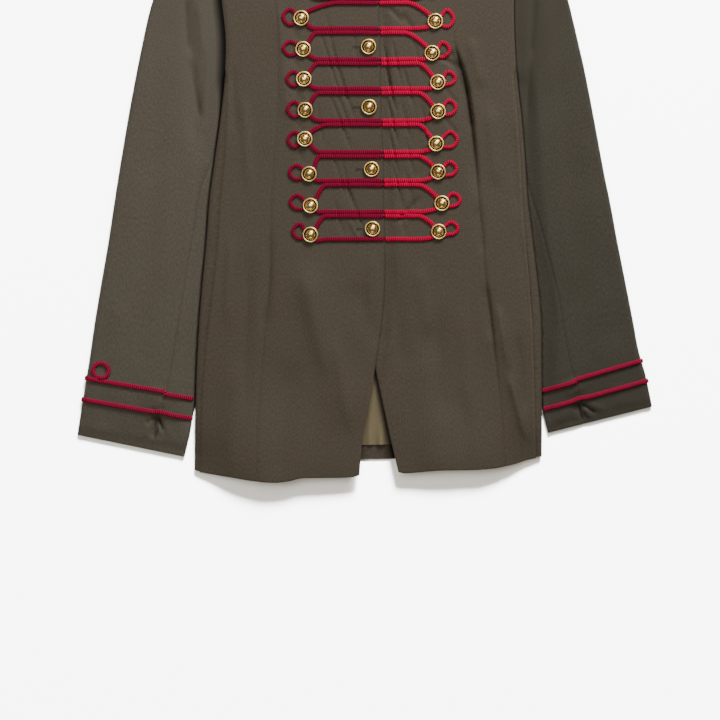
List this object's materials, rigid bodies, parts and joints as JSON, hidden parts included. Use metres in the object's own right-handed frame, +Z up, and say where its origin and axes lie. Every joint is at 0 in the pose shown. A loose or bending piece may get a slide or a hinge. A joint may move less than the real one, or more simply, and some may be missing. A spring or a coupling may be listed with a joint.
{
  "type": "military-style jacket",
  "caption": "Long-sleeved tailored jacket laid flat on its back, with a stand collar, braid frogging and dome buttons down the front and braided cuffs.",
  "frame": {"origin": "centre of the underside of the jacket's box, on the surface that it lies on", "axes": "+Z up from the surface, through the jacket's front; +Y from the hem towards the collar; +X towards the viewer's right"},
  "size_m": [0.72, 0.7598, 0.0209],
  "materials": {
    "gabardine": "fine twill, slight sheen",
    "lining": "satin",
    "braid": "ribbed knitted braid",
    "brass": "polished"
  },
  "bodies": {
    "root": {"back": "gabardine", "back_lining": "lining", "collar": "gabardine", "front_left": "gabardine", "front_right": "gabardine", "side_front_left": "gabardine", "side_front_right": "gabardine", "sleeve_top_left": "gabardine", "sleeve_top_right": "gabardine", "sleeve_under_left": "gabardine", "sleeve_under_right": "gabardine", "frogging_left": "braid", "frogging_right": "braid", "cuff_braid_upper_left": "braid", "cuff_braid_lower_left": "braid", "cuff_braid_upper_right": "braid", "cuff_braid_lower_right": "braid", "centre_button_1": "brass", "centre_button_2": "brass", "centre_button_3": "brass", "centre_button_4": "brass", "centre_button_5": "brass"}
  },
  "joints": []
}
